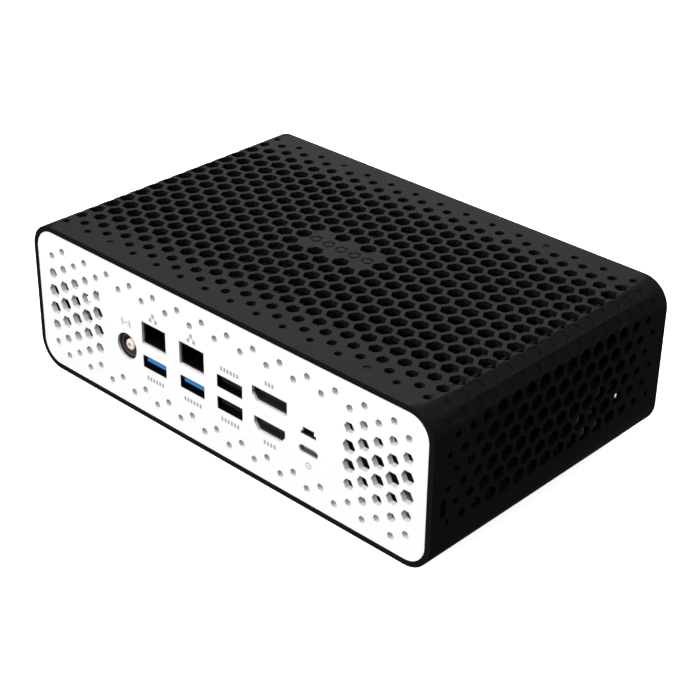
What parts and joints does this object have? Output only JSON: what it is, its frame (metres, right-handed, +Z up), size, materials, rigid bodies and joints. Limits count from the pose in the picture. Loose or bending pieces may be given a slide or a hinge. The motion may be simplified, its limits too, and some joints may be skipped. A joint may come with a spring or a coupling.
{
  "type": "mini computer",
  "caption": "Fanless mini computer in a perforated black case with white end panels, rear ports and a removable base on thumbscrew feet.",
  "frame": {"origin": "on the floor under the middle of the case", "axes": "+Z up, +X along the long side, +Y out of the rear port panel"},
  "size_m": [0.204, 0.129, 0.068],
  "materials": {
    "black_plastic": "fine matte grain",
    "white_plastic": "smooth satin",
    "light_plastic": "translucent",
    "black_plastic_gloss": "satin",
    "blue_plastic": "satin",
    "steel": "bright",
    "dark_metal": "dull nickel",
    "board": "solder mask",
    "chip": "moulded",
    "brass": "turned",
    "gold": "plated",
    "copper": "bare copper",
    "aluminium": "extruded",
    "rubber": "soft matte"
  },
  "bodies": {
    "base": {"bottom_cover": "black_plastic"},
    "case": {"antenna_leads": "black_plastic_gloss", "antennas": "board", "audio_sockets": "black_plastic_gloss", "black_tongues": "black_plastic_gloss", "blue_tongues": "blue_plastic", "board_chips": "chip", "board_screws": "steel", "capacitors": "aluminium", "card_socket": "steel", "coils": "chip", "coin_cell": "steel", "coin_cell_holder": "black_plastic_gloss", "cold_plate": "copper", "drive_bracket": "steel", "drive_connector": "black_plastic_gloss", "front_panel": "white_plastic", "front_type_a_socket": "steel", "front_type_c_socket": "steel", "heat_pipes": "copper", "heatsink": "aluminium", "heatsink_screws": "steel", "inlet_body": "black_plastic_gloss", "inlet_pin": "copper", "inlet_sleeve": "steel", "inner_frame": "steel", "lan_contacts": "gold", "lan_lights": "light_plastic", "lan_stack_1": "dark_metal", "lan_stack_2": "dark_metal", "light_ring": "light_plastic", "mainboard": "board", "memory_modules": "board", "memory_sockets": "black_plastic_gloss", "outer_shell": "black_plastic", "post_screws": "steel", "power_switch": "black_plastic_gloss", "processor": "board", "rear_panel": "white_plastic", "rear_type_c_socket": "steel", "standoffs": "brass", "stepped_socket": "black_plastic_gloss", "type_a_stack": "dark_metal", "video_stack": "dark_metal", "video_tongues": "black_plastic_gloss", "wireless_card": "board", "wireless_socket": "black_plastic_gloss"},
    "power_button": {"power_button": "white_plastic"},
    "drive": {"drive": "aluminium", "drive_tray": "steel", "drive_screws": "steel"},
    "foot_1": {"thumbscrew_1": "black_plastic_gloss", "foot_pad_1": "rubber"},
    "foot_2": {"thumbscrew_2": "black_plastic_gloss", "foot_pad_2": "rubber"},
    "foot_3": {"thumbscrew_3": "black_plastic_gloss", "foot_pad_3": "rubber"},
    "foot_4": {"thumbscrew_4": "black_plastic_gloss", "foot_pad_4": "rubber"}
  },
  "joints": [
    {"name": "case_lift", "type": "slide", "parent": "base", "child": "case", "axis": [0, 0, 1], "range_m": [0, 0.06]},
    {"name": "button_press", "type": "slide", "parent": "case", "child": "power_button", "axis": [0, 1, 0], "range_m": [0, 0.0008], "stiffness_N_per_m": 400, "springref_m": -0.001},
    {"name": "drive_slide", "type": "slide", "parent": "case", "child": "drive", "axis": [-1, 0, 0], "range_m": [0, 0.01]},
    {"name": "foot_1_turn", "type": "hinge", "parent": "base", "child": "foot_1", "pos_m": [-0.076, -0.046, 0.004], "axis": [0, 0, 1], "continuous": true},
    {"name": "foot_2_turn", "type": "hinge", "parent": "base", "child": "foot_2", "pos_m": [-0.076, 0.046, 0.004], "axis": [0, 0, 1], "continuous": true},
    {"name": "foot_3_turn", "type": "hinge", "parent": "base", "child": "foot_3", "pos_m": [0.076, -0.046, 0.004], "axis": [0, 0, 1], "continuous": true},
    {"name": "foot_4_turn", "type": "hinge", "parent": "base", "child": "foot_4", "pos_m": [0.076, 0.046, 0.004], "axis": [0, 0, 1], "continuous": true}
  ]
}
